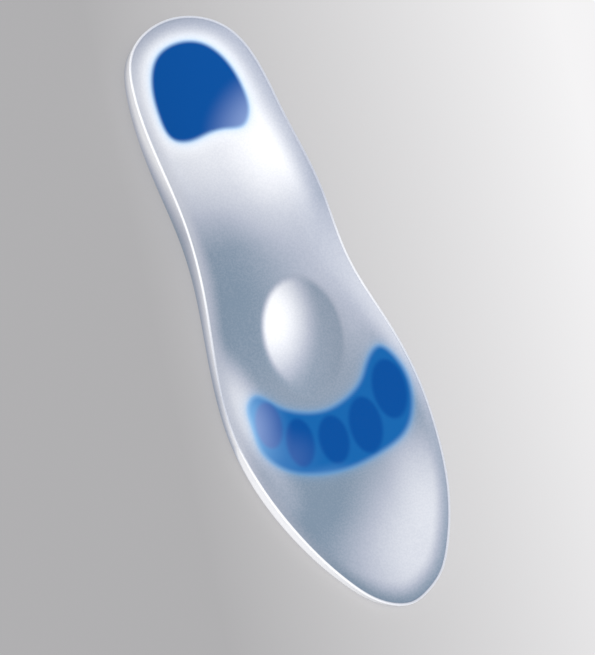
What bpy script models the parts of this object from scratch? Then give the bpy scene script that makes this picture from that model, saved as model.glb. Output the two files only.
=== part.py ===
"""A full-length silicone insole for a right foot, lying on its flat sole.

+Y points to the toes, +X to the little toe's side and +Z up. The origin is on the sole's plane, in the
middle of the box that the insole fills. Sizes are in metres.
"""
import math

import bmesh
import bpy
import numpy as np

# Overall sizes, the widths taken between the crests of the rim
INSOLE_LENGTH = 0.270
HEEL_WIDTH = 0.0626
WAIST_WIDTH = 0.0650
FOREFOOT_WIDTH = 0.0890

# The floor: its height along the middle, the stations between which that falls, and its rise at the rim
HEEL_FLOOR = 0.0052
FOREFOOT_FLOOR = 0.0032
TOE_FLOOR = 0.0024
ARCH_FALL = (0.26, 0.58)
TOE_FALL = (0.80, 0.96)
DISH_RISE = 0.0012

# The rim: its rise above the floor, the reach of its inner slope, its lip and its outer foot
RIM_RISE = 0.0050
RIM_REACH = 0.0080
LIP_WIDTH = 0.0012
EDGE_FLARE = 0.0015
FOOT_ROUND = 0.0010

# The metatarsal dome on the floor behind the ball of the foot
DOME_LENGTH = 0.0540
DOME_WIDTH = 0.0395
DOME_RISE = 0.0050
DOME_FALLOFF = 1.2
DOME_STATION = 0.544
DOME_SHIFT = -0.0032
DOME_TILT = 12.0

# The soft pads set into the sole, and the silicone skin left over them
SKIN = 0.0010
PAD_GAP = 0.0003
PAD_ROUND = 0.0003
POCKET_OVERCUT = 0.0020
HEEL_PAD_LENGTH = 0.0430
HEEL_PAD_SETBACK = 0.0102
HEEL_PAD_LATERAL_MARGIN = 0.0092
HEEL_PAD_MEDIAL_MARGIN = 0.0090
FOREFOOT_PAD_LENGTH = 0.0458
FOREFOOT_PAD_STATION = 0.6825
FOREFOOT_PAD_LATERAL_MARGIN = 0.0083
FOREFOOT_PAD_MEDIAL_MARGIN = 0.0038

# Fineness of the shapes
SIDE_COLUMNS = 56
FOOT_STEPS = 3
SLOPE_STEPS = 4
FLOOR_STEPS = 7
PAD_POINTS = 56
OVAL_POINTS = 28
ROUND_STEPS = 1
LIP_TURNS = (0.0, 45.0, 90.0, 135.0)
WELD_DISTANCE = 1e-6

# Ends of the spine that the floor's columns run to, as shares of the length
SPINE_START = 0.11
SPINE_END = 0.90

# Outline along the crest of the rim: stations along the length, and shares of the width that a row follows
# width, station, lateral, medial
OUTLINE = [
    (HEEL_WIDTH, 0.000, 0.123, -0.123),
    (HEEL_WIDTH, 0.040, 0.497, 0.253),
    (HEEL_WIDTH, 0.100, 0.582, 0.360),
    (HEEL_WIDTH, 0.190, 0.600, 0.400),
    (WAIST_WIDTH, 0.330, 0.553, 0.448),
    (WAIST_WIDTH, 0.450, 0.593, 0.468),
    (FOREFOOT_WIDTH, 0.570, 0.499, 0.435),
    (FOREFOOT_WIDTH, 0.660, 0.522, 0.481),
    (FOREFOOT_WIDTH, 0.760, 0.476, 0.474),
    (FOREFOOT_WIDTH, 0.860, 0.364, 0.416),
    (FOREFOOT_WIDTH, 0.940, 0.223, 0.306),
    (FOREFOOT_WIDTH, 0.970, 0.148, 0.236),
    (FOREFOOT_WIDTH, 0.992, 0.055, 0.130),
    (FOREFOOT_WIDTH, 1.000, -0.042, 0.042),
]

# Rim by stations, as shares of its rise, reach, flare and foot round, and of the floor's rise
# station, lateral and medial rise, lateral and medial reach, lateral and medial flare, foot_round, dish
RIM = [
    (0.00, 1.00, 1.00, 1.00, 1.00, 0.00, 0.00, 2.40, 1.00),
    (0.12, 1.05, 1.10, 1.00, 1.10, 0.50, 0.20, 2.40, 1.00),
    (0.25, 1.25, 1.35, 1.10, 1.40, 1.00, 0.40, 1.60, 1.00),
    (0.38, 1.05, 1.25, 1.10, 1.60, 0.60, 0.50, 1.00, 1.00),
    (0.50, 0.68, 0.88, 1.00, 1.30, 0.80, 0.50, 1.00, 0.80),
    (0.62, 0.45, 0.46, 0.75, 0.75, 0.75, 0.40, 0.80, 0.50),
    (0.75, 0.36, 0.36, 0.55, 0.45, 1.10, 0.30, 0.80, 0.35),
    (0.88, 0.32, 0.32, 0.55, 0.45, 1.00, 0.10, 0.80, 0.30),
    (1.00, 0.32, 0.32, 0.55, 0.50, 0.40, 0.00, 0.80, 0.25),
]

# Outline of the heel pad, as shares of its width across and its length along
# across, along
HEEL_PAD_OUTLINE = [
    (0.025, 0.00),
    (0.285, 0.085),
    (0.45, 0.34),
    (0.50, 0.68),
    (0.435, 0.945),
    (0.265, 1.00),
    (0.07, 0.977),
    (-0.16, 0.977),
    (-0.35, 0.99),
    (-0.465, 0.862),
    (-0.495, 0.65),
    (-0.425, 0.30),
    (-0.245, 0.07),
]

# Outline of the crescent pad, as shares of its width across and its length along
# across, along
FOREFOOT_PAD_OUTLINE = [
    (0.420, 0.090),
    (0.310, 0.225),
    (0.200, 0.350),
    (0.055, 0.412),
    (-0.085, 0.375),
    (-0.220, 0.250),
    (-0.300, 0.095),
    (-0.400, 0.000),
    (-0.475, 0.160),
    (-0.500, 0.420),
    (-0.462, 0.660),
    (-0.370, 0.850),
    (-0.200, 0.955),
    (0.075, 1.000),
    (0.270, 0.935),
    (0.410, 0.800),
    (0.488, 0.590),
    (0.489, 0.330),
    (0.466, 0.145),
]

# Five ovals in the crescent, from the big toe's side, as shares of the crescent's width and length
# across, along, width, length, tilt in degrees
OVALS = [
    (-0.368, 0.420, 0.210, 0.580, 8.5),
    (-0.155, 0.667, 0.202, 0.545, 9.7),
    (0.056, 0.700, 0.184, 0.465, 9.5),
    (0.252, 0.628, 0.168, 0.465, 11.1),
    (0.392, 0.385, 0.160, 0.440, 10.7),
]

# Colours
SILICONE_COLOUR = (0.80, 0.84, 0.90, 1.0)
DEEP_BLUE = (0.004, 0.080, 0.350, 1.0)
MID_BLUE = (0.012, 0.160, 0.480, 1.0)
SILICONE_ROUGHNESS = 0.32
PAD_ROUGHNESS = 0.45
SMOOTH_ANGLE = math.radians(40)


def clear_scene():
    """Remove the objects that the file opened with."""
    for item in list(bpy.data.objects):
        bpy.data.objects.remove(item, do_unlink=True)


def new_collection(name):
    """A collection of that name in the scene."""
    collection = bpy.data.collections.new(name)
    bpy.context.scene.collection.children.link(collection)
    return collection


def new_material(name, colour, roughness):
    """A plain material of one colour."""
    material = bpy.data.materials.new(name)
    material.use_nodes = True
    shader = material.node_tree.nodes["Principled BSDF"]
    shader.inputs["Base Color"].default_value = colour
    shader.inputs["Roughness"].default_value = roughness
    shader.inputs["Metallic"].default_value = 0.0
    return material


def spline_bends(knots, values, closed):
    """Second derivatives of the smooth curve through the values at the knots."""
    steps = np.diff(knots)
    slopes = np.diff(values, axis=0) / steps[:, None]
    system = np.eye(len(knots))
    pulls = np.zeros_like(values)
    for i in range(1, len(knots) - 1):
        system[i, i - 1:i + 2] = steps[i - 1], 2 * (steps[i - 1] + steps[i]), steps[i]
        pulls[i] = 6 * (slopes[i] - slopes[i - 1])
    if closed:
        system[0, [0, 1, -2]] = 2 * (steps[-1] + steps[0]), steps[0], steps[-1]
        pulls[0] = 6 * (slopes[0] - slopes[-1])
        system[-1, 0] = -1
    return np.linalg.solve(system, pulls)


def along_spline(knots, values, places, closed=False):
    """Rows of values at the places, on the smooth curve through the values at the knots."""
    knots = np.asarray(knots, float)
    values = np.asarray(values, float)
    bends = spline_bends(knots, values, closed)
    span = np.clip(np.searchsorted(knots, places, side="right") - 1, 0, len(knots) - 2)
    step = (knots[span + 1] - knots[span])[:, None]
    after = (places - knots[span])[:, None]
    before = step - after
    curved = (bends[span] * before ** 3 + bends[span + 1] * after ** 3) / (6 * step)
    start = (values[span] / step - bends[span] * step / 6) * before
    end = (values[span + 1] / step - bends[span + 1] * step / 6) * after
    return curved + start + end


def chord_lengths(points):
    """Distance run along straight chords to each point of the list."""
    return np.concatenate([[0.0], np.cumsum(np.linalg.norm(np.diff(points, axis=0), axis=1))])


def closed_outline(points, count):
    """Evenly spread points on the closed smooth curve through the given ones."""
    loop = np.vstack([points, points[:1]])
    knots = chord_lengths(loop)
    places = np.linspace(0.0, knots[-1], count, endpoint=False)
    return along_spline(knots, loop, places, closed=True)


def crest_line():
    """Plan of the rim's crest, from the heel's tip along the lateral side and back along the medial side."""
    lateral = [(width * across, station) for width, station, across, _ in OUTLINE]
    medial = [(-width * across, station) for width, station, _, across in OUTLINE[1:-1]]
    loop = np.array(lateral + medial[::-1] + lateral[:1])
    loop[:, 1] *= INSOLE_LENGTH
    knots = chord_lengths(loop)
    toe = knots[len(OUTLINE) - 1]
    there = np.linspace(0.0, toe, SIDE_COLUMNS, endpoint=False)
    back = np.linspace(toe, knots[-1], SIDE_COLUMNS, endpoint=False)
    line = along_spline(knots, loop, np.concatenate([there, back]), closed=True)
    reach = line[:, 1].max() - line[:, 1].min()
    line[:, 1] = (line[:, 1] - line[:, 1].min()) * (INSOLE_LENGTH - LIP_WIDTH) / reach + LIP_WIDTH / 2
    return line


def outward_normals(line):
    """Unit normals of a closed plan line that runs anticlockwise."""
    ahead = np.roll(line, -1, axis=0) - np.roll(line, 1, axis=0)
    normals = np.stack([ahead[:, 1], -ahead[:, 0]], axis=1)
    return normals / np.linalg.norm(normals, axis=1)[:, None]


def two_sides(line):
    """The lateral and the medial side of the crest, each from the heel's tip to the toes' tip."""
    return line[:SIDE_COLUMNS + 1], np.vstack([line[SIDE_COLUMNS:], line[:1]])[::-1]


def sides_at(line, along):
    """Lateral and medial place across of the crest, at a place along the insole."""
    lateral, medial = two_sides(line)
    return np.interp(along, lateral[:, 1], lateral[:, 0]), np.interp(along, medial[:, 1], medial[:, 0])


def smooth_step(value, ends):
    """A soft change from 0 at the first end to 1 at the second."""
    start, end = ends
    share = np.clip((value - start) / (end - start), 0.0, 1.0)
    return share * share * (3 - 2 * share)


def floor_height(along):
    """Height of the floor's middle: thick under the heel, thinner under the ball and the toes."""
    station = along / INSOLE_LENGTH
    height = HEEL_FLOOR + (FOREFOOT_FLOOR - HEEL_FLOOR) * smooth_step(station, ARCH_FALL)
    return height + (TOE_FLOOR - FOREFOOT_FLOOR) * smooth_step(station, TOE_FALL)


def dome_height(plan, line):
    """Height that the metatarsal dome adds to the floor at the places in plan."""
    along = DOME_STATION * INSOLE_LENGTH
    across = sum(sides_at(line, along)) / 2 + DOME_SHIFT
    tilt = math.radians(DOME_TILT)
    offset = plan - np.array([across, along])
    ahead = (offset[:, 0] * math.sin(tilt) + offset[:, 1] * math.cos(tilt)) / (DOME_LENGTH / 2)
    aside = (offset[:, 0] * math.cos(tilt) - offset[:, 1] * math.sin(tilt)) / (DOME_WIDTH / 2)
    inside = np.clip(1 - ahead ** 2 - aside ** 2, 0.0, None)
    return DOME_RISE * inside ** DOME_FALLOFF


def rim_sizes(line, normals):
    """Rise, reach, flare, foot and dish of the rim in each column of the body."""
    table = np.array(RIM)
    rows = along_spline(table[:, 0], table[:, 1:], line[:, 1] / INSOLE_LENGTH)
    lateral_share = (1 + normals[:, :1]) / 2
    lateral, medial = rows[:, 0:6:2], rows[:, 1:6:2]
    rise, reach, flare = (medial + (lateral - medial) * lateral_share).T
    foot, dish = rows[:, 6:].T
    return RIM_RISE * rise, RIM_REACH * reach, EDGE_FLARE * flare, FOOT_ROUND * foot, DISH_RISE * dish


def spine_points(line):
    """The floor's middle line, which each column of the body runs to."""
    lateral, medial = two_sides(line)
    share = (lateral[:, 1] + medial[:, 1]) / 2 / INSOLE_LENGTH
    along = INSOLE_LENGTH * (SPINE_START + (SPINE_END - SPINE_START) * share)
    lateral_across, medial_across = sides_at(line, along)
    return np.stack([(lateral_across + medial_across) / 2, along], axis=1)


def outer_rings(line, normals, flare, foot, crest):
    """Rings from the sole's edge, round the wall's foot, up the outer wall and over the lip."""
    lip = LIP_WIDTH / 2
    rings = []
    for turn in np.linspace(0.0, math.pi / 2, FOOT_STEPS + 1):
        outward = flare - foot * (1 - math.sin(turn))
        plan = line + normals * outward[:, None]
        rings.append(np.column_stack([plan, foot * (1 - math.cos(turn))]))
    for turn in np.radians(LIP_TURNS):
        plan = line + normals * lip * math.cos(turn)
        rings.append(np.column_stack([plan, crest - lip * (1 - math.sin(turn))]))
    return rings


def inner_rings(line, normals, rise, reach, dish):
    """Rings from the lip's inner shoulder down the slope and over the floor to the spine."""
    lip = LIP_WIDTH / 2
    columns = np.concatenate([np.arange(SIDE_COLUMNS + 1), np.arange(SIDE_COLUMNS - 1, 0, -1)])
    spine = spine_points(line)[columns]
    shoulder = line - normals * lip
    slope_foot = shoulder - normals * reach[:, None]
    run = np.linalg.norm(spine - slope_foot, axis=1)
    slope_places = [(shoulder + (slope_foot - shoulder) * share, reach * share)
                    for share in np.linspace(0.0, 1.0, SLOPE_STEPS + 1)]
    floor_places = [(slope_foot + (spine - slope_foot) * share, reach + run * share)
                    for share in np.linspace(0.0, 1.0, FLOOR_STEPS + 1)]
    rings = []
    for plan, way in slope_places + floor_places[1:]:
        slope = np.clip(1 - way / reach, 0.0, 1.0) ** 2
        hollow = (1 - way / (reach + run)) ** 2
        height = floor_height(plan[:, 1]) + dish * hollow + (rise - lip - dish) * slope
        rings.append(np.column_stack([plan, height + dome_height(plan, line)]))
    return rings


def body_rings(line):
    """All rings of the body, from the sole's edge over the rim to the floor's spine."""
    normals = outward_normals(line)
    rise, reach, flare, foot, dish = rim_sizes(line, normals)
    crest = floor_height(line[:, 1]) + rise
    return outer_rings(line, normals, flare, foot, crest) + inner_rings(line, normals, rise, reach, dish)


def loft(name, rings, collection):
    """A closed body from rings: a flat face fills the first ring, and the last one folds onto the spine."""
    shell = bmesh.new()
    count = len(rings[0])
    half = count // 2
    loops = [[shell.verts.new(point) for point in ring] for ring in rings[:-1]]
    spine = [shell.verts.new(point) for point in rings[-1][:half + 1]]
    loops.append(spine + spine[half - 1:0:-1])
    shell.faces.new(loops[0][::-1])
    for lower, upper in zip(loops, loops[1:]):
        for i in range(count):
            j = (i + 1) % count
            shell.faces.new([lower[i], lower[j], upper[j], upper[i]])
    bmesh.ops.recalc_face_normals(shell, faces=shell.faces)
    mesh = bpy.data.meshes.new(name)
    shell.to_mesh(mesh)
    shell.free()
    body = bpy.data.objects.new(name, mesh)
    collection.objects.link(body)
    return body


def flat_piece(name, outline, thickness, grow, rounding, collection):
    """A flat piece with rounded edges, standing on its own plane: a filled curve made a mesh."""
    curve = bpy.data.curves.new(name, "CURVE")
    curve.dimensions = "2D"
    curve.fill_mode = "BOTH"
    curve.extrude = thickness / 2 - rounding
    curve.bevel_depth = rounding
    curve.bevel_resolution = ROUND_STEPS
    curve.offset = grow - rounding
    spline = curve.splines.new("POLY")
    spline.points.add(len(outline) - 1)
    for point, (across, along) in zip(spline.points, outline):
        point.co = (across, along, 0.0, 1.0)
    spline.use_cyclic_u = True
    drawn = bpy.data.objects.new(name + "_outline", curve)
    drawn.location = (0.0, 0.0, thickness / 2)
    collection.objects.link(drawn)
    bpy.context.view_layer.update()
    evaluated = drawn.evaluated_get(bpy.context.evaluated_depsgraph_get())
    mesh = bpy.data.meshes.new_from_object(evaluated)
    mesh.name = name
    weld_points(mesh)
    piece = bpy.data.objects.new(name, mesh)
    piece.matrix_world = drawn.matrix_world.copy()
    collection.objects.link(piece)
    bpy.data.objects.remove(drawn, do_unlink=True)
    return piece


def weld_points(mesh):
    """Weld the loose caps of a filled curve to its sides."""
    shell = bmesh.new()
    shell.from_mesh(mesh)
    bmesh.ops.remove_doubles(shell, verts=shell.verts, dist=WELD_DISTANCE)
    bmesh.ops.recalc_face_normals(shell, faces=shell.faces)
    shell.to_mesh(mesh)
    shell.free()


def cut(piece, cutter):
    """Cut the cutter's shape out of the piece."""
    cutter.hide_render = True
    cutter.display_type = "WIRE"
    boolean = piece.modifiers.new(cutter.name, "BOOLEAN")
    boolean.operation = "DIFFERENCE"
    boolean.solver = "EXACT"
    boolean.object = cutter


def pad_outline(table, lateral, medial, start, length):
    """Outline of a pad between two places across, from a table of shares of its width and length."""
    width = lateral - medial
    middle = (lateral + medial) / 2
    points = [(middle + across * width, start + along * length) for across, along in table]
    return closed_outline(np.array(points), PAD_POINTS)


def heel_pad_outline(line):
    """Plan of the heel pad, between the rim's sides with a margin to each."""
    lateral, medial = sides_at(line, HEEL_PAD_SETBACK + HEEL_PAD_LENGTH / 2)
    lateral -= HEEL_PAD_LATERAL_MARGIN
    medial += HEEL_PAD_MEDIAL_MARGIN
    return pad_outline(HEEL_PAD_OUTLINE, lateral, medial, HEEL_PAD_SETBACK, HEEL_PAD_LENGTH)


def forefoot_pad_frame(line):
    """Lateral and medial side and start of the crescent pad."""
    along = FOREFOOT_PAD_STATION * INSOLE_LENGTH
    lateral, medial = sides_at(line, along)
    lateral -= FOREFOOT_PAD_LATERAL_MARGIN
    medial += FOREFOOT_PAD_MEDIAL_MARGIN
    return lateral, medial, along - FOREFOOT_PAD_LENGTH / 2


def oval_outline(row, lateral, medial, start):
    """Plan of one oval of the crescent."""
    across, along, width, length, tilt = row
    pad_width = lateral - medial
    middle = np.array([(lateral + medial) / 2 + across * pad_width, start + along * FOREFOOT_PAD_LENGTH])
    lean = math.radians(tilt)
    ahead = np.array([math.sin(lean), math.cos(lean)]) * length * FOREFOOT_PAD_LENGTH / 2
    aside = np.array([math.cos(lean), -math.sin(lean)]) * width * pad_width / 2
    turns = np.linspace(0.0, 2 * math.pi, OVAL_POINTS, endpoint=False)
    return [middle + ahead * math.sin(turn) + aside * math.cos(turn) for turn in turns]


def pad_and_pocket(name, outline, depth, parts, cutters):
    """A pad that stands on the sole's plane, and the cutter of the pocket that holds it."""
    pad = flat_piece(name, outline, depth - PAD_GAP, 0.0, PAD_ROUND, parts)
    pocket = flat_piece(name + "_pocket", outline, depth + POCKET_OVERCUT, PAD_GAP, 0.0, cutters)
    pocket.location.z -= POCKET_OVERCUT
    return pad, pocket


def centre_on_origin(body, pieces):
    """Move the pieces so that the middle of the body's box is at the origin."""
    across = [vertex.co.x for vertex in body.data.vertices]
    middle = (max(across) + min(across)) / 2
    for piece in pieces:
        piece.location.x -= middle
        piece.location.y -= INSOLE_LENGTH / 2


def finish(piece, colour, roughness):
    """Give the piece its own material, and smooth shading on its round faces."""
    piece.data.materials.clear()
    piece.data.materials.append(new_material(piece.name + "_silicone", colour, roughness))
    piece.data.shade_smooth()
    piece.data.set_sharp_from_angle(angle=SMOOTH_ANGLE)


def build_body(line, parts):
    """The clear body: dished, rimmed and domed, before its pockets are cut."""
    body = loft("insole_body", body_rings(line), parts)
    finish(body, SILICONE_COLOUR, SILICONE_ROUGHNESS)
    return body


def build_heel_pad(line, body, parts, cutters):
    """The heel pad in its pocket under the heel."""
    depth = HEEL_FLOOR - SKIN
    pad, pocket = pad_and_pocket("heel_pad", heel_pad_outline(line), depth, parts, cutters)
    cut(body, pocket)
    finish(pad, DEEP_BLUE, PAD_ROUGHNESS)
    return [pad, pocket]


def build_forefoot_pads(line, body, parts, cutters):
    """The crescent pad in its pocket under the ball, and the five ovals in the crescent's windows."""
    depth = FOREFOOT_FLOOR - SKIN
    lateral, medial, start = forefoot_pad_frame(line)
    crescent = pad_outline(FOREFOOT_PAD_OUTLINE, lateral, medial, start, FOREFOOT_PAD_LENGTH)
    crescent_pad, pocket = pad_and_pocket("forefoot_pad", crescent, depth, parts, cutters)
    cut(body, pocket)
    finish(crescent_pad, MID_BLUE, PAD_ROUGHNESS)
    pieces = [crescent_pad, pocket]
    for number, row in enumerate(OVALS, start=1):
        outline = oval_outline(row, lateral, medial, start)
        pad, window = pad_and_pocket("metatarsal_pad_%d" % number, outline, depth, parts, cutters)
        cut(crescent_pad, window)
        finish(pad, DEEP_BLUE, PAD_ROUGHNESS)
        pieces += [pad, window]
    return pieces


def build():
    """Model the insole with its origin in the middle of its sole."""
    clear_scene()
    parts = new_collection("silicone_insole")
    cutters = new_collection("cutters")
    line = crest_line()
    body = build_body(line, parts)
    pieces = [body]
    pieces += build_heel_pad(line, body, parts, cutters)
    pieces += build_forefoot_pads(line, body, parts, cutters)
    centre_on_origin(body, pieces)


build()
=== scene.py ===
"""A silicone insole on a pale table painted paler towards one side, a painted fall-off of light: the fine
model of the plain solids, with its lights and camera.

+Y points to the toes, +X to the little toe's side and +Z up. Sizes are in metres.
"""
import math

import bmesh
import bpy
import numpy as np
from mathutils import Matrix, Vector


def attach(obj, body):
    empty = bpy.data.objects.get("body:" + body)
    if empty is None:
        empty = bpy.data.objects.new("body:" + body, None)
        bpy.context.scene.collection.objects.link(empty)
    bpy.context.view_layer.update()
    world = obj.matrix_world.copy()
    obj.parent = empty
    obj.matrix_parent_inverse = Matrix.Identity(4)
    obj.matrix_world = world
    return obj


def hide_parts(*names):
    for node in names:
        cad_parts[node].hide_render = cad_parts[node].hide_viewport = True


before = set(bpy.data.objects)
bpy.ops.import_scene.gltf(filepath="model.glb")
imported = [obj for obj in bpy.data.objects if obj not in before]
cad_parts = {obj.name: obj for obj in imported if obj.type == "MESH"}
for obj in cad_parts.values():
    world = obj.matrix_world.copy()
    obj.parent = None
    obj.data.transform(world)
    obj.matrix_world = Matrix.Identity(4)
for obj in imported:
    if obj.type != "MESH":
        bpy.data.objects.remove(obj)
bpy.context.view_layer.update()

# Overall sizes, the widths taken between the crests of the rim
INSOLE_LENGTH = 0.270
HEEL_WIDTH = 0.0626
WAIST_WIDTH = 0.0650
FOREFOOT_WIDTH = 0.0890

# The floor: its height along the middle, the stations between which that falls, and its rise at the rim
HEEL_FLOOR = 0.0052
FOREFOOT_FLOOR = 0.0032
TOE_FLOOR = 0.0024
ARCH_FALL = (0.26, 0.58)
TOE_FALL = (0.80, 0.96)
DISH_RISE = 0.0012

# The rim: its rise above the floor, the reach of its inner slope, its lip and its outer foot
RIM_RISE = 0.0050
RIM_REACH = 0.0080
LIP_WIDTH = 0.0012
EDGE_FLARE = 0.0015
FOOT_ROUND = 0.0010

# The metatarsal dome on the floor behind the ball of the foot
DOME_LENGTH = 0.0540
DOME_WIDTH = 0.0395
DOME_RISE = 0.0050
DOME_FALLOFF = 1.2
DOME_STATION = 0.544
DOME_SHIFT = -0.0032
DOME_TILT = 12.0

# The soft pads set into the sole, and the silicone skin left over them
SKIN = 0.0010
PAD_GAP = 0.0003
PAD_ROUND = 0.0003
POCKET_OVERCUT = 0.0020
HEEL_PAD_LENGTH = 0.0430
HEEL_PAD_SETBACK = 0.0102
HEEL_PAD_LATERAL_MARGIN = 0.0092
HEEL_PAD_MEDIAL_MARGIN = 0.0090
FOREFOOT_PAD_LENGTH = 0.0458
FOREFOOT_PAD_STATION = 0.6825
FOREFOOT_PAD_LATERAL_MARGIN = 0.0083
FOREFOOT_PAD_MEDIAL_MARGIN = 0.0038

# Fineness of the shapes
SIDE_COLUMNS = 330
FOOT_STEPS = 6
WALL_STEPS = 6
LIP_STEPS = 9
SLOPE_STEPS = 16
FLOOR_STEPS = 54
PAD_POINTS = 240
OVAL_POINTS = 120
ROUND_STEPS = 3
WELD_DISTANCE = 1e-6

# Ends of the spine that the floor's columns run to, as shares of the length
SPINE_START = 0.11
SPINE_END = 0.90

# Outline along the crest of the rim: stations along the length, and shares of the width that a row follows
# width, station, lateral, medial
OUTLINE = [
    (HEEL_WIDTH, 0.000, 0.123, -0.123),
    (HEEL_WIDTH, 0.040, 0.497, 0.253),
    (HEEL_WIDTH, 0.100, 0.582, 0.360),
    (HEEL_WIDTH, 0.190, 0.600, 0.400),
    (WAIST_WIDTH, 0.330, 0.553, 0.448),
    (WAIST_WIDTH, 0.450, 0.593, 0.468),
    (FOREFOOT_WIDTH, 0.570, 0.499, 0.435),
    (FOREFOOT_WIDTH, 0.660, 0.522, 0.481),
    (FOREFOOT_WIDTH, 0.760, 0.476, 0.474),
    (FOREFOOT_WIDTH, 0.860, 0.364, 0.416),
    (FOREFOOT_WIDTH, 0.940, 0.223, 0.306),
    (FOREFOOT_WIDTH, 0.970, 0.148, 0.236),
    (FOREFOOT_WIDTH, 0.992, 0.055, 0.130),
    (FOREFOOT_WIDTH, 1.000, -0.042, 0.042),
]

# Rim by stations, as shares of its rise, reach, flare and foot round, and of the floor's rise
# station, lateral and medial rise, lateral and medial reach, lateral and medial flare, foot_round, dish
RIM = [
    (0.00, 1.00, 1.00, 1.00, 1.00, 0.00, 0.00, 2.40, 1.00),
    (0.12, 1.05, 1.10, 1.00, 1.10, 0.50, 0.20, 2.40, 1.00),
    (0.25, 1.25, 1.35, 1.10, 1.40, 1.00, 0.40, 1.60, 1.00),
    (0.38, 1.05, 1.25, 1.10, 1.60, 0.60, 0.50, 1.00, 1.00),
    (0.50, 0.68, 0.88, 1.00, 1.30, 0.80, 0.50, 1.00, 0.80),
    (0.62, 0.45, 0.46, 0.75, 0.75, 0.75, 0.40, 0.80, 0.50),
    (0.75, 0.36, 0.36, 0.55, 0.45, 1.10, 0.30, 0.80, 0.35),
    (0.88, 0.32, 0.32, 0.55, 0.45, 1.00, 0.10, 0.80, 0.30),
    (1.00, 0.32, 0.32, 0.55, 0.50, 0.40, 0.00, 0.80, 0.25),
]

# Outline of the heel pad, as shares of its width across and its length along
# across, along
HEEL_PAD_OUTLINE = [
    (0.025, 0.00),
    (0.285, 0.085),
    (0.45, 0.34),
    (0.50, 0.68),
    (0.435, 0.945),
    (0.265, 1.00),
    (0.07, 0.977),
    (-0.16, 0.977),
    (-0.35, 0.99),
    (-0.465, 0.862),
    (-0.495, 0.65),
    (-0.425, 0.30),
    (-0.245, 0.07),
]

# Outline of the crescent pad, as shares of its width across and its length along
# across, along
FOREFOOT_PAD_OUTLINE = [
    (0.420, 0.090),
    (0.310, 0.225),
    (0.200, 0.350),
    (0.055, 0.412),
    (-0.085, 0.375),
    (-0.220, 0.250),
    (-0.300, 0.095),
    (-0.400, 0.000),
    (-0.475, 0.160),
    (-0.500, 0.420),
    (-0.462, 0.660),
    (-0.370, 0.850),
    (-0.200, 0.955),
    (0.075, 1.000),
    (0.270, 0.935),
    (0.410, 0.800),
    (0.488, 0.590),
    (0.489, 0.330),
    (0.466, 0.145),
]

# Five ovals in the crescent, from the big toe's side, as shares of the crescent's width and length
# across, along, width, length, tilt in degrees
OVALS = [
    (-0.368, 0.420, 0.210, 0.580, 8.5),
    (-0.155, 0.667, 0.202, 0.545, 9.7),
    (0.056, 0.700, 0.184, 0.465, 9.5),
    (0.252, 0.628, 0.168, 0.465, 11.1),
    (0.392, 0.385, 0.160, 0.440, 10.7),
]

# How the blue shows through the skin: full at the first depth inside an edge, gone at the second outside it
DEEP_FADE = (-0.0014, 0.0010)
MID_FADE = (-0.0020, 0.0011)
HALO_REACH = 0.0013
HALO_STRENGTH = 0.75

# Cloudiness of the floor along its lateral and its medial side by stations, and the share of the width over
# which one changes to the other. It is partly the silicone's own, whiter where it is thick, and partly
# painted
# light and shade: the lateral side of the midfoot and the toes painted darker, the medial side lighter.
# station, lateral, medial
FLOOR_CLOUDING_AND_PAINTED_LIGHT = [
    (0.00, 0.55, 0.55),
    (0.12, 0.60, 0.52),
    (0.24, 0.50, 0.52),
    (0.31, 0.34, 0.48),
    (0.38, 0.05, 0.41),
    (0.46, 0.00, 0.41),
    (0.55, 0.03, 0.32),
    (0.62, 0.08, 0.14),
    (0.70, 0.05, 0.08),
    (0.80, 0.00, 0.06),
    (1.00, 0.00, 0.06),
]
FLOOR_CHANGE = (0.0, 0.80)

# Cloudiness of the outer wall, the lip and the rim's inner slope by stations, and how far the slope's goes,
# with
# painted light and shade in it: the slopes painted greyer or whiter as light falls on them, and a white band
# of painted light on the lateral toe's wall
# station, lateral and medial wall, lateral and medial lip, lateral and medial slope, lateral and medial fade
RIM_CLOUDING_AND_PAINTED_LIGHT = [
    (0.00, 0.80, 0.70, 0.60, 0.60, 0.26, 0.26, 0.0085, 0.0085),
    (0.10, 0.92, 0.70, 1.00, 0.55, 0.70, 0.33, 0.0065, 0.0085),
    (0.17, 0.95, 0.70, 1.00, 0.52, 0.66, 0.36, 0.0080, 0.0100),
    (0.23, 0.74, 0.70, 1.00, 0.48, 0.60, 0.38, 0.0085, 0.0100),
    (0.34, 0.36, 0.65, 1.00, 0.48, 0.54, 0.24, 0.0085, 0.0080),
    (0.42, 0.50, 0.65, 1.00, 0.85, 0.44, 0.44, 0.0100, 0.0110),
    (0.50, 0.60, 0.60, 0.70, 0.90, 0.36, 0.54, 0.0080, 0.0100),
    (0.60, 0.47, 0.60, 0.45, 0.72, 0.46, 0.55, 0.0070, 0.0080),
    (0.68, 0.75, 0.60, 0.52, 0.62, 0.47, 0.36, 0.0060, 0.0060),
    (0.75, 4.00, 0.60, 1.00, 0.62, 0.30, 0.20, 0.0060, 0.0055),
    (0.93, 4.00, 0.60, 1.00, 0.60, 0.02, 0.08, 0.0068, 0.0085),
    (1.00, 1.20, 0.60, 0.60, 0.55, 0.02, 0.02, 0.0115, 0.0115),
]

# Cloudiness of the sole, and the share of the wall's at its foot and at its top: painted shade, the wall
# darker low down
SOLE_CLOUDING = 0.45
WALL_PAINTED_SHADE = (0.0, 1.45)

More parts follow.
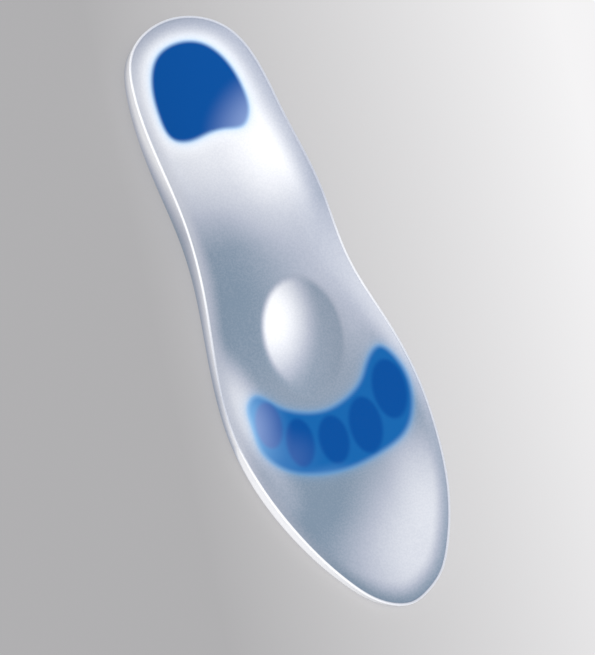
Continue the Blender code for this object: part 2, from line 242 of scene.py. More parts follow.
# Painted pools of light on the silicone, whiter where light falls: place across and along, radius across and
# along, lean in degrees, strength
PAINTED_LIGHT_POOLS = [
    (-0.017, -0.072, 0.026, 0.036, 0.0, 0.97),
    (0.004, -0.078, 0.046, 0.040, 0.0, 0.45),
    (-0.008, -0.044, 0.026, 0.026, -40.0, 0.20),
    (0.036, 0.036, 0.014, 0.040, -8.0, 0.62),
    (0.033, 0.074, 0.013, 0.018, 0.0, 0.16),
    (-0.020, 0.113, 0.044, 0.066, 33.0, 0.61),
    (-0.030, 0.086, 0.018, 0.032, 0.0, 0.22),
    (0.012, 0.108, 0.024, 0.022, 0.0, 0.10),
]
PAINTED_LIGHT_FADE = (0.1, 1.0)

# The dome's painted highlight, white on its lateral, lit side, and the shares of its rise in which it comes
# up
DOME_PAINTED_HIGHLIGHTS = [
    (0.0094, -0.0004, 0.0232, 0.0390, 16.8, 0.98),
    (0.0000, 0.0100, 0.0600, 0.0600, 0.0, 0.12),
]
DOME_EDGE = (0.0, 0.24)

# A painted glow of whiter silicone round the heel pad, a band of light: how far it reaches, and how white it
# is painted
PAINTED_GLOW_REACH = 0.0056
PAINTED_GLOW_WHITENESS = 0.96

# Painted sheen over the pads, a soft highlight: place across and along, radius across and along, lean in
# degrees, strength
PAINTED_SHEENS = [
    (-0.0195, -0.0780, 0.0275, 0.0360, 60.0, 0.75),
    (0.0470, 0.0400, 0.0315, 0.0315, 0.0, 0.95),
    (0.0280, 0.0600, 0.0220, 0.0150, 0.0, 0.12),
    (0.0170, 0.0750, 0.0260, 0.0095, 0.0, 0.30),
    (-0.0370, 0.0100, 0.0100, 0.0200, 0.0, 0.12),
]

# Share of the painted sheen over the crescent, beside the fuller painted sheen over the deep blue
MID_PAINTED_SHEEN = 0.85

# The matt silicone's fine speckle, roughness and relief: blotch sizes, ranges and depth
SPECKLE_SIZE = 0.0008
SPECKLE = (-0.035, 0.035)
ROUGHNESS_SIZE = 0.0009
BODY_ROUGHNESS = (0.30, 0.38)
PAD_ROUGHNESS = (0.40, 0.50)
BODY_RELIEF_SIZE = 0.0006
PAD_RELIEF_SIZE = 0.0005
RELIEF_DEPTH = 0.00002
RELIEF_STRENGTH = 0.5
NOISE_SPAN = (0.3, 0.7)
NOISE_DETAIL = 3.0
SILICONE_IOR = 1.43

# The pads' slightly darker blotches
PAD_BLOTCH_SIZE = 0.004
PAD_SHADE = 0.8

# Colours, linear
CLEAR_SILICONE = (0.205, 0.272, 0.354, 1.0)
MILKY_SILICONE = (0.440, 0.470, 0.555, 1.0)
CLOUDY_SILICONE = (0.94, 0.94, 0.96, 1.0)
# The silicone's colour runs through these with its cloudiness and with the painted light and shade laid on
# it
SILICONE_COLOURS = [(0.0, CLEAR_SILICONE), (0.33, MILKY_SILICONE), (1.0, CLOUDY_SILICONE)]
HALO_BLUE = (0.30, 0.60, 0.93, 1.0)
DEEP_HALO_BLUE = (0.13, 0.34, 0.62, 1.0)
DEEP_BLUE = (0.0005, 0.076, 0.325, 1.0)
MID_BLUE = (0.006, 0.125, 0.400, 1.0)
# Colour of the painted sheen, a soft highlight over the deep blue
PAINTED_SHEEN_COLOUR = (0.34, 0.45, 0.74, 1.0)
TABLE_GREY = (0.352, 0.345, 0.347, 1.0)
TABLE_PALE = (0.735, 0.722, 0.718, 1.0)

# Sockets of a colour mix, and the angle up to which edges are shaded smooth
MIX_SHARE, MIX_FIRST, MIX_SECOND, MIX_RESULT = 0, 6, 7, 2
SMOOTH_ANGLE = math.radians(40)

# Camera: the picture's right, up and near directions, and where it stands and aims
PICTURE = Matrix(((-0.87001, -0.27936, 0.40630), (0.35254, -0.92852, 0.11650), (0.34467, 0.24457, 0.90631)))
CAMERA_DISTANCE = 1.200
CAMERA_BASE = Vector((-0.00195, 0.0, 0.0))
AIM = Vector((0.00314, -0.00714, 0.0))
FOCAL_LENGTH = 154.2
SENSOR = 36.0

# The table: its size, how far it lies below the sole, and the way and the stretch in which it is painted
# paler, a painted fall-off of light
TABLE_SIZE = 6.0
TABLE_DROP = 0.0002
TABLE_ROUGHNESS = 0.8
PAINTED_LIGHT_WAY = (-0.99, 0.14, 0.0)
PAINTED_LIGHT_STRETCH = (-0.060, 0.165)

# Lights: directions in the picture to its right, up in it and near, then strength and spread in degrees of
# the suns, and side and power of the soft boxes
OVERHEAD = ((0.40, 0.15, 0.85), 0.77, 30.0)
TABLE_LIGHT = ((0.0, 0.0, 1.0), 1.05, 10.0)
SOFTBOX_DISTANCE = 0.9
SOFTBOXES = {
    "key": ((-1.0, 0.30, 0.50), 0.20, 1.6),
    "edge": ((-0.75, -0.85, 0.85), 0.25, 1.9),
}
ROOM_COLOUR = (0.90, 0.94, 1.0, 1.0)
ROOM_STRENGTH = 0.32


def spline_bends(knots, values, closed):
    """Second derivatives of the smooth curve through the values at the knots."""
    steps = np.diff(knots)
    slopes = np.diff(values, axis=0) / steps[:, None]
    system = np.eye(len(knots))
    pulls = np.zeros_like(values)
    for i in range(1, len(knots) - 1):
        system[i, i - 1:i + 2] = steps[i - 1], 2 * (steps[i - 1] + steps[i]), steps[i]
        pulls[i] = 6 * (slopes[i] - slopes[i - 1])
    if closed:
        system[0, [0, 1, -2]] = 2 * (steps[-1] + steps[0]), steps[0], steps[-1]
        pulls[0] = 6 * (slopes[0] - slopes[-1])
        system[-1, 0] = -1
    return np.linalg.solve(system, pulls)


def along_spline(knots, values, places, closed=False):
    """Rows of values at the places, on the smooth curve through the values at the knots."""
    knots = np.asarray(knots, float)
    values = np.asarray(values, float)
    bends = spline_bends(knots, values, closed)
    span = np.clip(np.searchsorted(knots, places, side="right") - 1, 0, len(knots) - 2)
    step = (knots[span + 1] - knots[span])[:, None]
    after = (places - knots[span])[:, None]
    before = step - after
    curved = (bends[span] * before ** 3 + bends[span + 1] * after ** 3) / (6 * step)
    start = (values[span] / step - bends[span] * step / 6) * before
    end = (values[span + 1] / step - bends[span + 1] * step / 6) * after
    return curved + start + end


def chord_lengths(points):
    """Distance run along straight chords to each point of the list."""
    return np.concatenate([[0.0], np.cumsum(np.linalg.norm(np.diff(points, axis=0), axis=1))])


def closed_outline(points, count):
    """Evenly spread points on the closed smooth curve through the given ones."""
    loop = np.vstack([points, points[:1]])
    knots = chord_lengths(loop)
    places = np.linspace(0.0, knots[-1], count, endpoint=False)
    return along_spline(knots, loop, places, closed=True)


def crest_line():
    """Plan of the rim's crest, from the heel's tip along the lateral side and back along the medial side."""
    lateral = [(width * across, station) for width, station, across, _ in OUTLINE]
    medial = [(-width * across, station) for width, station, _, across in OUTLINE[1:-1]]
    loop = np.array(lateral + medial[::-1] + lateral[:1])
    loop[:, 1] *= INSOLE_LENGTH
    knots = chord_lengths(loop)
    toe = knots[len(OUTLINE) - 1]
    there = np.linspace(0.0, toe, SIDE_COLUMNS, endpoint=False)
    back = np.linspace(toe, knots[-1], SIDE_COLUMNS, endpoint=False)
    line = along_spline(knots, loop, np.concatenate([there, back]), closed=True)
    reach = line[:, 1].max() - line[:, 1].min()
    line[:, 1] = (line[:, 1] - line[:, 1].min()) * (INSOLE_LENGTH - LIP_WIDTH) / reach + LIP_WIDTH / 2
    return line


def outward_normals(line):
    """Unit normals of a closed plan line that runs anticlockwise."""
    ahead = np.roll(line, -1, axis=0) - np.roll(line, 1, axis=0)
    normals = np.stack([ahead[:, 1], -ahead[:, 0]], axis=1)
    return normals / np.linalg.norm(normals, axis=1)[:, None]


def two_sides(line):
    """The lateral and the medial side of the crest, each from the heel's tip to the toes' tip."""
    return line[:SIDE_COLUMNS + 1], np.vstack([line[SIDE_COLUMNS:], line[:1]])[::-1]


def sides_at(line, along):
    """Lateral and medial place across of the crest, at a place along the insole."""
    lateral, medial = two_sides(line)
    return np.interp(along, lateral[:, 1], lateral[:, 0]), np.interp(along, medial[:, 1], medial[:, 0])


def smooth_step(value, ends):
    """A soft change from 0 at the first end to 1 at the second."""
    start, end = ends
    share = np.clip((value - start) / (end - start), 0.0, 1.0)
    return share * share * (3 - 2 * share)


def floor_height(along):
    """Height of the floor's middle: thick under the heel, thinner under the ball and the toes."""
    station = along / INSOLE_LENGTH
    height = HEEL_FLOOR + (FOREFOOT_FLOOR - HEEL_FLOOR) * smooth_step(station, ARCH_FALL)
    return height + (TOE_FLOOR - FOREFOOT_FLOOR) * smooth_step(station, TOE_FALL)


def dome_frame(plan, line):
    """Places in plan as shares of the dome's half length and half width from its middle."""
    along = DOME_STATION * INSOLE_LENGTH
    across = sum(sides_at(line, along)) / 2 + DOME_SHIFT
    tilt = math.radians(DOME_TILT)
    offset = plan - np.array([across, along])
    ahead = (offset[:, 0] * math.sin(tilt) + offset[:, 1] * math.cos(tilt)) / (DOME_LENGTH / 2)
    aside = (offset[:, 0] * math.cos(tilt) - offset[:, 1] * math.sin(tilt)) / (DOME_WIDTH / 2)
    return ahead, aside


def dome_height(plan, line):
    """Height that the metatarsal dome adds to the floor at the places in plan."""
    ahead, aside = dome_frame(plan, line)
    inside = np.clip(1 - ahead ** 2 - aside ** 2, 0.0, None)
    return DOME_RISE * inside ** DOME_FALLOFF


def rim_sizes(line, normals):
    """Rise, reach, flare, foot and dish of the rim in each column of the body."""
    table = np.array(RIM)
    rows = along_spline(table[:, 0], table[:, 1:], line[:, 1] / INSOLE_LENGTH)
    lateral_share = (1 + normals[:, :1]) / 2
    lateral, medial = rows[:, 0:6:2], rows[:, 1:6:2]
    rise, reach, flare = (medial + (lateral - medial) * lateral_share).T
    foot, dish = rows[:, 6:].T
    return RIM_RISE * rise, RIM_REACH * reach, EDGE_FLARE * flare, FOOT_ROUND * foot, DISH_RISE * dish


def spine_points(line):
    """The floor's middle line, which each column of the body runs to."""
    lateral, medial = two_sides(line)
    share = (lateral[:, 1] + medial[:, 1]) / 2 / INSOLE_LENGTH
    along = INSOLE_LENGTH * (SPINE_START + (SPINE_END - SPINE_START) * share)
    lateral_across, medial_across = sides_at(line, along)
    return np.stack([(lateral_across + medial_across) / 2, along], axis=1)


def outer_rings(line, normals, flare, foot, crest):
    """Rings from the sole's edge, round the wall's foot, up the outer wall and over the lip."""
    lip = LIP_WIDTH / 2
    rings = []
    for turn in np.linspace(0.0, math.pi / 2, FOOT_STEPS + 1):
        outward = flare - foot * (1 - math.sin(turn))
        plan = line + normals * outward[:, None]
        rings.append(np.column_stack([plan, foot * (1 - math.cos(turn))]))
    wall_foot = rings[-1]
    wall_top = np.column_stack([line + normals * lip, crest - lip])
    for share in np.linspace(0.0, 1.0, WALL_STEPS, endpoint=False)[1:]:
        rings.append(wall_foot + (wall_top - wall_foot) * share)
    for turn in np.linspace(0.0, math.pi, LIP_STEPS, endpoint=False):
        plan = line + normals * lip * math.cos(turn)
        rings.append(np.column_stack([plan, crest - lip * (1 - math.sin(turn))]))
    return rings


def inner_rings(line, normals, rise, reach, dish):
    """Rings from the lip's inner shoulder down the slope and over the floor to the spine."""
    lip = LIP_WIDTH / 2
    columns = np.concatenate([np.arange(SIDE_COLUMNS + 1), np.arange(SIDE_COLUMNS - 1, 0, -1)])
    spine = spine_points(line)[columns]
    shoulder = line - normals * lip
    slope_foot = shoulder - normals * reach[:, None]
    run = np.linalg.norm(spine - slope_foot, axis=1)
    slope_places = [(shoulder + (slope_foot - shoulder) * share, reach * share)
                    for share in np.linspace(0.0, 1.0, SLOPE_STEPS + 1)]
    floor_places = [(slope_foot + (spine - slope_foot) * share, reach + run * share)
                    for share in np.linspace(0.0, 1.0, FLOOR_STEPS + 1)]
    rings = []
    for plan, way in slope_places + floor_places[1:]:
        slope = np.clip(1 - way / reach, 0.0, 1.0) ** 2
        hollow = (1 - way / (reach + run)) ** 2
        height = floor_height(plan[:, 1]) + dish * hollow + (rise - lip - dish) * slope
        rings.append(np.column_stack([plan, height + dome_height(plan, line)]))
    return rings


def body_rings(line):
    """All rings of the body, from the sole's edge over the rim to the floor's spine."""
    normals = outward_normals(line)
    rise, reach, flare, foot, dish = rim_sizes(line, normals)
    crest = floor_height(line[:, 1]) + rise
    return outer_rings(line, normals, flare, foot, crest) + inner_rings(line, normals, rise, reach, dish)


def loft(name, rings):
    """A closed body from rings: a flat face fills the first ring, and the last one folds onto the spine."""
    shell = bmesh.new()
    count = len(rings[0])
    half = count // 2
    loops = [[shell.verts.new(point) for point in ring] for ring in rings[:-1]]
    spine = [shell.verts.new(point) for point in rings[-1][:half + 1]]
    loops.append(spine + spine[half - 1:0:-1])
    shell.faces.new(loops[0][::-1])
    for lower, upper in zip(loops, loops[1:]):
        for i in range(count):
            j = (i + 1) % count
            shell.faces.new([lower[i], lower[j], upper[j], upper[i]])
    bmesh.ops.recalc_face_normals(shell, faces=shell.faces)
    mesh = bpy.data.meshes.new(name)
    shell.to_mesh(mesh)
    shell.free()
    body = bpy.data.objects.new(name, mesh)
    bpy.context.scene.collection.objects.link(body)
    return body


def flat_piece(name, outline, thickness, grow, rounding):
    """A flat piece with rounded edges, standing on the sole's plane: a filled curve made a mesh."""
    curve = bpy.data.curves.new(name, "CURVE")
    curve.dimensions = "2D"
    curve.fill_mode = "BOTH"
    curve.extrude = thickness / 2 - rounding
    curve.bevel_depth = rounding
    curve.bevel_resolution = ROUND_STEPS
    curve.offset = grow - rounding
    spline = curve.splines.new("POLY")
    spline.points.add(len(outline) - 1)
    for point, (across, along) in zip(spline.points, outline):
        point.co = (across, along, 0.0, 1.0)
    spline.use_cyclic_u = True
    drawn = bpy.data.objects.new(name + "_outline", curve)
    bpy.context.scene.collection.objects.link(drawn)
    bpy.context.view_layer.update()
    evaluated = drawn.evaluated_get(bpy.context.evaluated_depsgraph_get())
    mesh = bpy.data.meshes.new_from_object(evaluated)
    mesh.name = name
    mesh.transform(Matrix.Translation((0.0, 0.0, thickness / 2)))
    shell = bmesh.new()
    shell.from_mesh(mesh)
    bmesh.ops.remove_doubles(shell, verts=shell.verts, dist=WELD_DISTANCE)
    bmesh.ops.recalc_face_normals(shell, faces=shell.faces)
    shell.to_mesh(mesh)
    shell.free()
    piece = bpy.data.objects.new(name, mesh)
    bpy.context.scene.collection.objects.link(piece)
    bpy.data.objects.remove(drawn, do_unlink=True)
    return piece


def pad_outline(table, lateral, medial, start, length):
    """Outline of a pad between two places across, from a table of shares of its width and length."""
    width = lateral - medial
    middle = (lateral + medial) / 2
    points = [(middle + across * width, start + along * length) for across, along in table]
    return closed_outline(np.array(points), PAD_POINTS)


def heel_pad_outline(line):
    """Plan of the heel pad, between the rim's sides with a margin to each."""
    lateral, medial = sides_at(line, HEEL_PAD_SETBACK + HEEL_PAD_LENGTH / 2)
    lateral -= HEEL_PAD_LATERAL_MARGIN
    medial += HEEL_PAD_MEDIAL_MARGIN
    return pad_outline(HEEL_PAD_OUTLINE, lateral, medial, HEEL_PAD_SETBACK, HEEL_PAD_LENGTH)


def forefoot_pad_frame(line):
    """Lateral and medial side and start of the crescent pad."""
    along = FOREFOOT_PAD_STATION * INSOLE_LENGTH
    lateral, medial = sides_at(line, along)
    lateral -= FOREFOOT_PAD_LATERAL_MARGIN
    medial += FOREFOOT_PAD_MEDIAL_MARGIN
    return lateral, medial, along - FOREFOOT_PAD_LENGTH / 2


def oval_outline(row, lateral, medial, start):
    """Plan of one oval of the crescent."""
    across, along, width, length, tilt = row
    pad_width = lateral - medial
    middle = np.array([(lateral + medial) / 2 + across * pad_width, start + along * FOREFOOT_PAD_LENGTH])
    lean = math.radians(tilt)
    ahead = np.array([math.sin(lean), math.cos(lean)]) * length * FOREFOOT_PAD_LENGTH / 2
    aside = np.array([math.cos(lean), -math.sin(lean)]) * width * pad_width / 2
    turns = np.linspace(0.0, 2 * math.pi, OVAL_POINTS, endpoint=False)
    return np.array([middle + ahead * math.sin(turn) + aside * math.cos(turn) for turn in turns])


def signed_distance(points, outline):
    """Distance in plan from each point to a closed outline, less than 0 inside it."""
    start = outline
    edge = np.roll(outline, -1, axis=0) - outline
    nearest = np.full(len(points), np.inf)
    inside = np.zeros(len(points), bool)
    for a, e in zip(start, edge):
        offset = points - a
        share = np.clip(offset @ e / (e @ e), 0.0, 1.0)
        nearest = np.minimum(nearest, np.linalg.norm(offset - share[:, None] * e, axis=1))
        crosses = (a[1] > points[:, 1]) != (a[1] + e[1] > points[:, 1])
        if e[1] != 0.0:
            inside ^= crosses & (points[:, 0] < a[0] + e[0] * (points[:, 1] - a[1]) / e[1])
    return np.where(inside, -nearest, nearest)


def cut(piece, cutter):
    """Cut the cutter's shape out of the piece for good, and remove the cutter."""
    boolean = piece.modifiers.new("pocket", "BOOLEAN")
    boolean.operation = "DIFFERENCE"
    boolean.solver = "EXACT"
    boolean.object = cutter
    bpy.context.view_layer.update()
    evaluated = piece.evaluated_get(bpy.context.evaluated_depsgraph_get())
    mesh = bpy.data.meshes.new_from_object(evaluated)
    piece.modifiers.clear()
    piece.data = mesh
    bpy.data.objects.remove(cutter, do_unlink=True)


def keep_numbers(mesh, name, values):
    """Store one number for each point of the mesh, for its material to read."""
    layer = mesh.attributes.new(name, "FLOAT", "POINT")
    layer.data.foreach_set("value", np.asarray(values, np.float32))


def soft_blots(plan, blots):
    """Strength at each place in plan of some soft oval blots laid over one another."""
    clear = np.ones(len(plan))
    for across, along, wide, long, lean, strength in blots:
        turn = math.radians(lean)
        offset = plan - np.array([across, along])
        aside = offset[:, 0] * math.cos(turn) - offset[:, 1] * math.sin(turn)
        ahead = offset[:, 0] * math.sin(turn) + offset[:, 1] * math.cos(turn)
        far = np.hypot(aside / wide, ahead / long)
        clear *= 1 - strength * (1 - smooth_step(far, PAINTED_LIGHT_FADE))
    return 1 - clear


def rim_clouding_and_painted_light(line):
    """Cloudiness of the wall, the lip and the slope in each column, with painted light and shade, and how
    far in the slope's goes.
    """
    table = np.array(RIM_CLOUDING_AND_PAINTED_LIGHT)
    stations = line[:, 1] / INSOLE_LENGTH
    rows = np.array([np.interp(stations, table[:, 0], column) for column in table[:, 1:].T])
    lateral_share = (1 + outward_normals(line)[:, 0]) / 2
    return rows[1::2] + (rows[0::2] - rows[1::2]) * lateral_share


def floor_clouding_and_painted_light(plan, dome, line, shift, heel):
    """Cloudiness of the floor at places in plan with painted light and shade: its own, painted pools of
    light, the dome's painted highlight and a painted glow round the heel pad.
    """
    stations, lateral, medial = np.array(FLOOR_CLOUDING_AND_PAINTED_LIGHT).T
    place = plan[:, 1] / INSOLE_LENGTH
    lateral_side, medial_side = sides_at(line, plan[:, 1])
    across = smooth_step((plan[:, 0] - medial_side) / (lateral_side - medial_side), FLOOR_CHANGE)
    # Lateral side painted darker and medial side lighter: partly painted shade
    share = np.interp(place, stations, medial)
    share = share + (np.interp(place, stations, lateral) - share) * across
    # Painted pools of light on the floor
    share = share + (1 - share) * soft_blots(plan - shift, PAINTED_LIGHT_POOLS)
    # The dome's painted highlight on its lit side
    dome_painted_highlight = soft_blots(plan - shift, DOME_PAINTED_HIGHLIGHTS)
    share = share + (dome_painted_highlight - share) * smooth_step(dome / DOME_RISE, DOME_EDGE)
    # A painted glow of whiter silicone round the heel pad
    painted_glow = np.exp(-(np.clip(signed_distance(plan - shift, heel), 0.0, None) / PAINTED_GLOW_REACH) ** 2)
    return share + np.clip(PAINTED_GLOW_WHITENESS - share, 0.0, None) * painted_glow


def cloudiness_and_painted_light(rings, line, shift, heel):
    """How cloudy the silicone is at each point of the rings, with painted light and shade laid on it."""
    wall, lip, slope, fade = rim_clouding_and_painted_light(line)
    outer = FOOT_STEPS + WALL_STEPS
    shares = []
    for number, ring in enumerate(rings):
        over = number - outer
        if number == 0:
            shares.append(np.full(len(ring), SOLE_CLOUDING))
        elif over < 0:
            height = np.clip(ring[:, 2] / rings[outer][:, 2], 0.0, 1.0)
            # The wall painted darker towards its foot: painted shade
            shares.append(np.clip(wall * np.interp(height, (0.0, 1.0), WALL_PAINTED_SHADE), 0.0, 1.0))
        elif over < LIP_STEPS:
            side = wall * WALL_PAINTED_SHADE[1] if over < LIP_STEPS / 2 else slope
            shares.append(np.clip(side + (lip - side) * math.sin(math.pi * over / LIP_STEPS), 0.0, 1.0))
        else:
            plan = ring[:, :2]
            floor = floor_clouding_and_painted_light(plan, dome_height(plan, line), line, shift, heel)
            way = np.linalg.norm(plan - line, axis=1) / fade
            shares.append(floor + (slope - floor) * smooth_step(way, (1.0, 0.0)))
    return shares


def mark_body(body, rings, line, shift, heel, crescent, ovals):
    """Store on the body how cloudy it is at each point, with painted light and shade laid on, and how much
    blue and painted sheen show there.
    """
    half = len(line) // 2
    plan = np.vstack(rings[:-1] + [rings[-1][:half + 1]])[:, :2] - shift
    clouds_and_painted_light = cloudiness_and_painted_light(rings, line, shift, heel)
    keep_numbers(body.data, "cloudy_and_painted_light", np.concatenate(clouds_and_painted_light[:-1] + [clouds_and_painted_light[-1][:half + 1]]))
    deep_far = np.min([signed_distance(plan, outline) for outline in [heel] + ovals], axis=0)
    crescent_far = signed_distance(plan, crescent)
    pads_far = np.minimum(crescent_far, signed_distance(plan, heel))
    keep_numbers(body.data, "deep", 1 - smooth_step(deep_far, DEEP_FADE))
    keep_numbers(body.data, "mid", 1 - smooth_step(crescent_far, MID_FADE))
    keep_numbers(body.data, "halo", HALO_STRENGTH * np.exp(-np.clip(pads_far, 0.0, None) / HALO_REACH))
    # The painted sheen over the pads
    keep_numbers(body.data, "painted_sheen", soft_blots(plan, PAINTED_SHEENS))


def even_sole(body):
    """Give the points of the flat sole, those of the pockets' mouths too, one cloudiness and no blue."""
    points = np.empty(len(body.data.vertices) * 3)
    body.data.vertices.foreach_get("co", points)
    low = points[2::3] < WELD_DISTANCE
    even = {"cloudy_and_painted_light": SOLE_CLOUDING, "deep": 0.0, "mid": 0.0, "halo": 0.0, "painted_sheen": 0.0}
    for name, value in even.items():
        numbers = np.empty(len(low), np.float32)
        body.data.attributes[name].data.foreach_get("value", numbers)
        numbers[low] = value
        body.data.attributes[name].data.foreach_set("value", numbers)


def link(nodes, source, target):
    """Join two sockets."""
    nodes.id_data.links.new(source, target)


def feed(nodes, socket, value):
    """Give a socket its value, which may be another socket or a plain value."""
    if isinstance(value, bpy.types.NodeSocket):
        link(nodes, value, socket)
    else:
        socket.default_value = value


def mixed(nodes, share, first, second):
    """A colour between two, by a share; each may be a socket or a plain colour."""
    mix = nodes.new("ShaderNodeMix")
    mix.data_type = "RGBA"
    for number, value in ((MIX_SHARE, share), (MIX_FIRST, first), (MIX_SECOND, second)):
        feed(nodes, mix.inputs[number], value)
    return mix.outputs[MIX_RESULT]


def ramped(nodes, value, stops):
    """A colour that runs through some others as a value grows."""
    ramp = nodes.new("ShaderNodeValToRGB")
    link(nodes, value, ramp.inputs["Fac"])
    elements = ramp.color_ramp.elements
    while len(elements) < len(stops):
        elements.new(stops[len(elements) - 1][0])
    for element, (place, colour) in zip(elements, stops):
        element.position = place
        element.color = colour
    return ramp.outputs["Color"]


def noise(nodes, place, size):
    """Cloudy noise whose blotches are about the given size."""
    texture = nodes.new("ShaderNodeTexNoise")
    link(nodes, place, texture.inputs["Vector"])
    texture.inputs["Scale"].default_value = 1.0 / size
    texture.inputs["Detail"].default_value = NOISE_DETAIL
    return texture.outputs["Fac"]


def noise_between(nodes, place, size, ends):
    """Cloudy noise that changes softly between two values."""
    change = nodes.new("ShaderNodeMapRange")
    change.interpolation_type = "SMOOTHSTEP"
    link(nodes, noise(nodes, place, size), change.inputs["Value"])
    change.inputs["From Min"].default_value, change.inputs["From Max"].default_value = NOISE_SPAN
    change.inputs["To Min"].default_value, change.inputs["To Max"].default_value = ends
    return change.outputs["Result"]


def attribute(nodes, name):
    """A number stored on the mesh."""
    reader = nodes.new("ShaderNodeAttribute")
    reader.attribute_name = name
    return reader.outputs["Fac"]


def new_material(name):
    """An empty glossy material: its nodes, its shader and the place on the object."""
    material = bpy.data.materials.new(name)
    material.use_nodes = True
    nodes = material.node_tree.nodes
    shader = nodes["Principled BSDF"]
    place = nodes.new("ShaderNodeTexCoord").outputs["Object"]
    return material, nodes, shader, place


def combined(nodes, operation, first, second):
    """The result of one sum on two numbers; each may be a socket or a plain number."""
    node = nodes.new("ShaderNodeMath")
    node.operation = operation
    for socket, value in zip(node.inputs, (first, second)):
        feed(nodes, socket, value)
    return node.outputs["Value"]


def matt_surface(nodes, shader, place, colour, roughness, relief_size):
    """Matt silicone of the given colour: its roughness, its fine relief and its refraction."""
    bump = nodes.new("ShaderNodeBump")
    bump.inputs["Distance"].default_value = RELIEF_DEPTH
    bump.inputs["Strength"].default_value = RELIEF_STRENGTH
    link(nodes, noise(nodes, place, relief_size), bump.inputs["Height"])
    link(nodes, bump.outputs["Normal"], shader.inputs["Normal"])
    link(nodes, colour, shader.inputs["Base Color"])
    link(nodes, noise_between(nodes, place, ROUGHNESS_SIZE, roughness), shader.inputs["Roughness"])
    shader.inputs["IOR"].default_value = SILICONE_IOR


def silicone_material():
    """Milky silicone with a fine speckle, painted light, shade and sheen, and the blue of the pads showing
    through its skin.
    """
    material, nodes, shader, place = new_material("milky_silicone")
    speckle = noise_between(nodes, place, SPECKLE_SIZE, SPECKLE)
    cloudy_and_painted_light = combined(nodes, "ADD", attribute(nodes, "cloudy_and_painted_light"), speckle)
    colour = ramped(nodes, cloudy_and_painted_light, SILICONE_COLOURS)
    halo = mixed(nodes, attribute(nodes, "cloudy_and_painted_light"), DEEP_HALO_BLUE, HALO_BLUE)
    colour = mixed(nodes, attribute(nodes, "halo"), colour, halo)
    # Painted sheen: a soft highlight laid over the pads' blue
    painted_sheen = attribute(nodes, "painted_sheen")
    mid = mixed(nodes, combined(nodes, "MULTIPLY", painted_sheen, MID_PAINTED_SHEEN), MID_BLUE, HALO_BLUE)
    colour = mixed(nodes, attribute(nodes, "mid"), colour, mid)
    colour = mixed(nodes, attribute(nodes, "deep"), colour, mixed(nodes, painted_sheen, DEEP_BLUE, PAINTED_SHEEN_COLOUR))
    matt_surface(nodes, shader, place, colour, BODY_ROUGHNESS, BODY_RELIEF_SIZE)
    return material


def pad_material(name, colour):
    """Softer blue silicone."""
    material, nodes, shader, place = new_material(name)
    shade = tuple(channel * PAD_SHADE for channel in colour[:3]) + (1.0,)
    blotched = mixed(nodes, noise(nodes, place, PAD_BLOTCH_SIZE), shade, colour)
    matt_surface(nodes, shader, place, blotched, PAD_ROUGHNESS, PAD_RELIEF_SIZE)
    return material


def finish_piece(piece, material, node):
    """Shade the piece and put it in the place of its plain solid."""
    piece.data.materials.clear()
    piece.data.materials.append(material)
    piece.data.shade_smooth()
    piece.data.set_sharp_from_angle(angle=SMOOTH_ANGLE)
    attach(piece, "root")
    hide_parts(node)


def build_heel_pad(outline, depth, material):
    """The deep blue pad under the heel."""
    pad = flat_piece("blue_heel_pad", outline, depth - PAD_GAP, 0.0, PAD_ROUND)
    finish_piece(pad, material, "heel_pad")
    return pad


def build_forefoot_pads(crescent, ovals, depth, deep):
    """The mid-blue crescent, and a darker oval in each of its windows."""
    crescent_pad = flat_piece("blue_crescent", crescent, depth - PAD_GAP, 0.0, PAD_ROUND)
    pads = [crescent_pad]
    for number, oval in enumerate(ovals, start=1):
        window = flat_piece("window", oval, depth + POCKET_OVERCUT, PAD_GAP, 0.0)
        window.location.z -= POCKET_OVERCUT
        cut(crescent_pad, window)
        pad = flat_piece("blue_oval_%d" % number, oval, depth - PAD_GAP, 0.0, PAD_ROUND)
        finish_piece(pad, deep, "metatarsal_pad_%d" % number)
        pads.append(pad)
    finish_piece(crescent_pad, pad_material("mid_blue_inlay", MID_BLUE), "forefoot_pad")
    return pads


def build_insole():
    """The dished body and its blue pads, each in its pocket in the sole."""
    line = crest_line()
    rings = body_rings(line)
    across = np.vstack(rings)[:, 0]
    shift = np.array([(across.max() + across.min()) / 2, INSOLE_LENGTH / 2])
    middle = np.append(shift, 0.0)
    body = loft("silicone_body", [ring - middle for ring in rings])
    heel = heel_pad_outline(line) - shift
    lateral, medial, start = forefoot_pad_frame(line)
    crescent = pad_outline(FOREFOOT_PAD_OUTLINE, lateral, medial, start, FOREFOOT_PAD_LENGTH) - shift
    ovals = [oval_outline(row, lateral, medial, start) - shift for row in OVALS]
    mark_body(body, rings, line, shift, heel, crescent, ovals)
    heel_depth = HEEL_FLOOR - SKIN
    forefoot_depth = FOREFOOT_FLOOR - SKIN
    for outline, depth in ((heel, heel_depth), (crescent, forefoot_depth)):
        pocket = flat_piece("pocket", outline, depth + POCKET_OVERCUT, PAD_GAP, 0.0)
        pocket.location.z -= POCKET_OVERCUT
        cut(body, pocket)
    even_sole(body)
    finish_piece(body, silicone_material(), "insole_body")
    deep = pad_material("deep_blue_inlay", DEEP_BLUE)
    pads = [build_heel_pad(heel, heel_depth, deep)]
    pads += build_forefoot_pads(crescent, ovals, forefoot_depth, deep)
    return [body] + pads


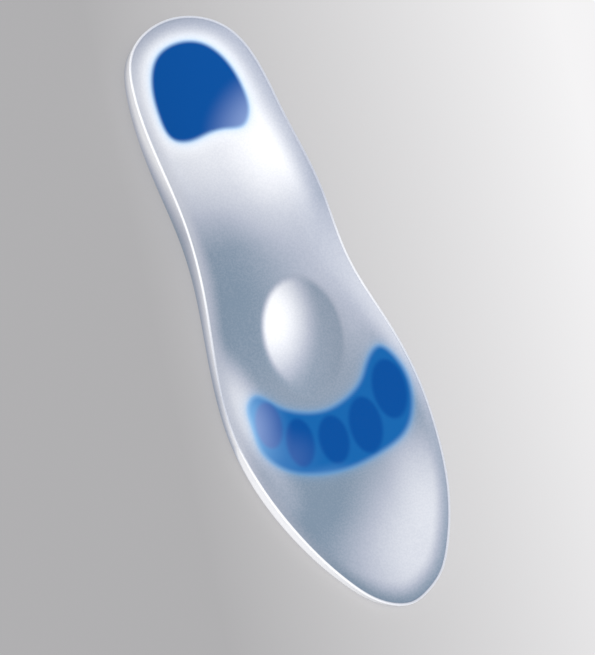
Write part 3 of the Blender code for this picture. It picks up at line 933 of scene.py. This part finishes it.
def build_table():
    """A pale table top, painted paler towards one side: a painted fall-off of light."""
    mesh = bpy.data.meshes.new("table")
    half = TABLE_SIZE / 2
    corners = [(-half, -half), (half, -half), (half, half), (-half, half)]
    mesh.from_pydata([(x, y, -TABLE_DROP) for x, y in corners], [], [(0, 1, 2, 3)])
    table = bpy.data.objects.new("table", mesh)
    bpy.context.scene.collection.objects.link(table)
    material, nodes, shader, place = new_material("table_top")
    turned = nodes.new("ShaderNodeVectorMath")
    turned.operation = "DOT_PRODUCT"
    first, second = turned.inputs[:2]
    second.default_value = PAINTED_LIGHT_WAY
    link(nodes, place, first)
    # Painted fall-off of light: the table grows paler along this way
    painted_light_falloff = nodes.new("ShaderNodeMapRange")
    link(nodes, turned.outputs["Value"], painted_light_falloff.inputs["Value"])
    painted_light_falloff.inputs["From Min"].default_value, painted_light_falloff.inputs["From Max"].default_value = PAINTED_LIGHT_STRETCH
    tone = mixed(nodes, painted_light_falloff.outputs["Result"], TABLE_GREY, TABLE_PALE)
    link(nodes, tone, shader.inputs["Base Color"])
    shader.inputs["Roughness"].default_value = TABLE_ROUGHNESS
    shader.inputs["Specular IOR Level"].default_value = 0.0
    mesh.materials.append(material)
    return table


def picture_direction(right, up, near):
    """A direction in the room from one in the picture: to its right, up in it and towards the camera."""
    return (PICTURE @ Vector((right, up, near))).normalized()


def add_softbox(name, direction, side, power):
    """A soft square light that looks at the insole's middle from a direction in the picture."""
    light = bpy.data.lights.new(name, "AREA")
    light.shape = "RECTANGLE"
    light.size = side
    light.size_y = side
    light.energy = power
    softbox = bpy.data.objects.new(name, light)
    bpy.context.scene.collection.objects.link(softbox)
    toward = picture_direction(*direction)
    softbox.location = toward * SOFTBOX_DISTANCE
    softbox.rotation_mode = "QUATERNION"
    softbox.rotation_quaternion = toward.to_track_quat("Z", "Y")
    return softbox


def add_sun(name, direction, strength, spread):
    """An even light from a direction in the picture."""
    light = bpy.data.lights.new(name, "SUN")
    light.energy = strength * math.pi
    light.angle = math.radians(spread)
    sun = bpy.data.objects.new(name, light)
    bpy.context.scene.collection.objects.link(sun)
    sun.rotation_mode = "QUATERNION"
    sun.rotation_quaternion = picture_direction(*direction).to_track_quat("Z", "Y")
    return sun


def light_only(lights, pieces, name):
    """Let the lights reach these pieces alone."""
    reached = bpy.data.collections.new(name)
    for piece in pieces:
        reached.objects.link(piece)
    for light in lights:
        light.light_linking.receiver_collection = reached


def build_lights(insole, table):
    """The studio: a soft sun and soft boxes on the insole, an even light on the table and a pale room."""
    overhead = add_sun("overhead", *OVERHEAD)
    overhead.visible_glossy = False
    boxes = [add_softbox(name, *box) for name, box in SOFTBOXES.items()]
    light_only([overhead] + boxes, insole, "lit_by_boxes")
    even = add_sun("even", *TABLE_LIGHT)
    even.data.use_shadow = False
    light_only([even], [table], "lit_evenly")
    world = bpy.data.worlds.new("room")
    bpy.context.scene.world = world
    world.use_nodes = True
    background = world.node_tree.nodes["Background"]
    background.inputs["Color"].default_value = ROOM_COLOUR
    background.inputs["Strength"].default_value = ROOM_STRENGTH
    world.cycles_visibility.glossy = False


def build_camera():
    """The camera, at the photograph's viewing angle."""
    data = bpy.data.cameras.new("camera")
    data.lens = FOCAL_LENGTH
    data.sensor_width = SENSOR
    camera = bpy.data.objects.new("camera", data)
    bpy.context.scene.collection.objects.link(camera)
    near = PICTURE.col[2]
    camera.location = CAMERA_BASE + near * CAMERA_DISTANCE
    aim = CAMERA_BASE + PICTURE @ AIM
    back = (camera.location - aim).normalized()
    right = PICTURE.col[1].cross(back).normalized()
    up = back.cross(right)
    camera.rotation_mode = "QUATERNION"
    camera.rotation_quaternion = Matrix((right, up, back)).transposed().to_quaternion()
    bpy.context.scene.camera = camera


insole = build_insole()
table = build_table()
build_lights(insole, table)
build_camera()
bpy.context.scene.view_settings.view_transform = "Standard"
